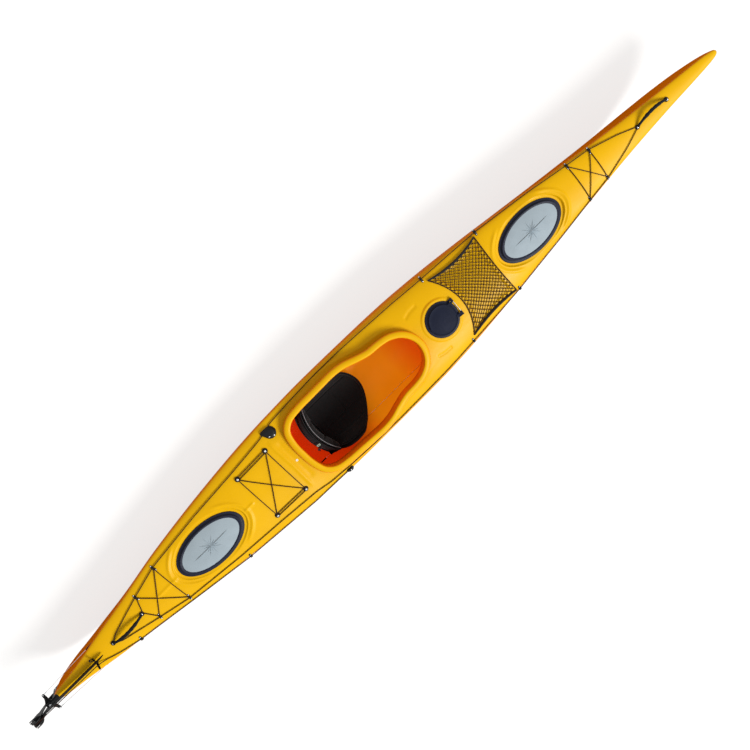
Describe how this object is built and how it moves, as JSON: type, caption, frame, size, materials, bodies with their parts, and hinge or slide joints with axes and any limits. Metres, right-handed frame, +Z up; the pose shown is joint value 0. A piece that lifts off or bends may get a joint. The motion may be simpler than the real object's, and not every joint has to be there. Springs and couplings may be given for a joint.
{
  "type": "sea kayak",
  "caption": "Long narrow single-seat sea kayak with keyhole cockpit, oval and round hatches, deck net, deck lines and an over-stern flip-up rudder.",
  "frame": {"origin": "on the flat keel strip under the middle of the hull's length, at the boat's centre plane", "axes": "+X towards the bow, +Y to port, +Z up"},
  "size_m": [5.366, 0.6032, 0.3965],
  "materials": {
    "hull_plastic": "moulded golden yellow plastic with a fine low sheen",
    "fitting_plastic": "black moulded plastic",
    "rim_plastic": "near-black moulded plastic",
    "cover_rubber": "light blue-grey stretch-fit rubber",
    "lid_plastic": "dark slate moulded plastic",
    "stainless": "plain stainless steel",
    "cordage": "dark woven cord",
    "seat_foam": "black padded cloth",
    "chock_rubber": "soft black rubber"
  },
  "bodies": {
    "hull_body": {"hull_shell": "hull_plastic", "bow_bulkhead": "hull_plastic", "stern_bulkhead": "hull_plastic", "bow_hatch_rim": "rim_plastic", "stern_hatch_rim": "rim_plastic", "day_hatch_rim": "rim_plastic", "deck_line_port": "cordage", "deck_line_starboard": "cordage", "stern_bungee": "cordage", "rear_deck_bungee": "cordage", "bow_bungee": "cordage", "deck_net": "cordage", "uphaul_line": "cordage", "day_hatch_hinge_pin": "stainless", "rudder_pin": "stainless", "rudder_cable_port": "stainless", "rudder_cable_starboard": "stainless", "seat_pad": "seat_foam", "rudder_chock": "chock_rubber", "day_hatch_pod": "fitting_plastic", "seat_pan": "fitting_plastic", "footrest_rail_port": "fitting_plastic", "footrest_rail_starboard": "fitting_plastic", "bow_carry_handle": "fitting_plastic", "stern_carry_handle": "fitting_plastic", "line_cleat": "fitting_plastic", "uphaul_cleat": "fitting_plastic", "uphaul_guide_fore": "fitting_plastic", "uphaul_guide_aft": "fitting_plastic", "stern_bracket": "fitting_plastic", "cable_sleeve_port": "fitting_plastic", "cable_sleeve_starboard": "fitting_plastic", "deck_eye_1_port": "fitting_plastic", "deck_eye_1_starboard": "fitting_plastic", "deck_eye_2_port": "fitting_plastic", "deck_eye_2_starboard": "fitting_plastic", "deck_eye_3_port": "fitting_plastic", "deck_eye_3_starboard": "fitting_plastic", "deck_eye_4_port": "fitting_plastic", "deck_eye_4_starboard": "fitting_plastic", "deck_eye_5_port": "fitting_plastic", "deck_eye_5_starboard": "fitting_plastic", "deck_eye_6_port": "fitting_plastic", "deck_eye_6_starboard": "fitting_plastic", "net_eye_aft_port": "fitting_plastic", "net_eye_aft_starboard": "fitting_plastic", "net_eye_fore_port": "fitting_plastic", "net_eye_fore_starboard": "fitting_plastic"},
    "rudder_head_body": {"rudder_head": "fitting_plastic", "blade_pivot_bolt": "stainless"},
    "rudder_blade_body": {"rudder_blade": "fitting_plastic"},
    "pedal_port_body": {"foot_pedal_port": "fitting_plastic", "pedal_cable_port": "stainless"},
    "pedal_starboard_body": {"foot_pedal_starboard": "fitting_plastic", "pedal_cable_starboard": "stainless"},
    "bow_cover_body": {"bow_hatch_cover": "cover_rubber"},
    "stern_cover_body": {"stern_hatch_cover": "cover_rubber"},
    "day_lid_body": {"day_hatch_lid": "lid_plastic"},
    "backrest_body": {"backrest_shell": "fitting_plastic", "backrest_pad": "seat_foam"}
  },
  "joints": [
    {"name": "rudder_steer", "type": "hinge", "parent": "hull_body", "child": "rudder_head_body", "pos_m": [-2.64, 0, 0.2805], "axis": [0, 0, 1], "range_deg": [-35, 35], "deforming": ["rudder_cable_port", "rudder_cable_starboard", "uphaul_line", "rudder_chock"]},
    {"name": "rudder_deploy", "type": "hinge", "parent": "rudder_head_body", "child": "rudder_blade_body", "pos_m": [-2.728, 0, 0.337], "axis": [0, -1, 0], "range_deg": [0, 250]},
    {"name": "pedal_port", "type": "slide", "parent": "hull_body", "child": "pedal_port_body", "axis": [1, 0, 0], "range_m": [-0.04, 0.04]},
    {"name": "pedal_starboard", "type": "slide", "parent": "hull_body", "child": "pedal_starboard_body", "axis": [1, 0, 0], "range_m": [-0.04, 0.04]},
    {"name": "bow_hatch_lift", "type": "slide", "parent": "hull_body", "child": "bow_cover_body", "axis": [0, 0, 1], "range_m": [0, 0.15]},
    {"name": "stern_hatch_lift", "type": "slide", "parent": "hull_body", "child": "stern_cover_body", "axis": [0, 0, 1], "range_m": [0, 0.15]},
    {"name": "day_hatch_open", "type": "hinge", "parent": "hull_body", "child": "day_lid_body", "pos_m": [0.50902, 0, 0.3543], "axis": [0, 1, 0], "range_deg": [0, 150]},
    {"name": "backrest_tilt", "type": "hinge", "parent": "hull_body", "child": "backrest_body", "pos_m": [-0.5681, 0, 0.126], "axis": [0, -1, 0], "range_deg": [-8, 20]}
  ],
  "couplings": [
    {"joint": "pedal_port", "follows": "rudder_steer", "m_per_rad": -0.062},
    {"joint": "pedal_starboard", "follows": "rudder_steer", "m_per_rad": 0.062}
  ]
}
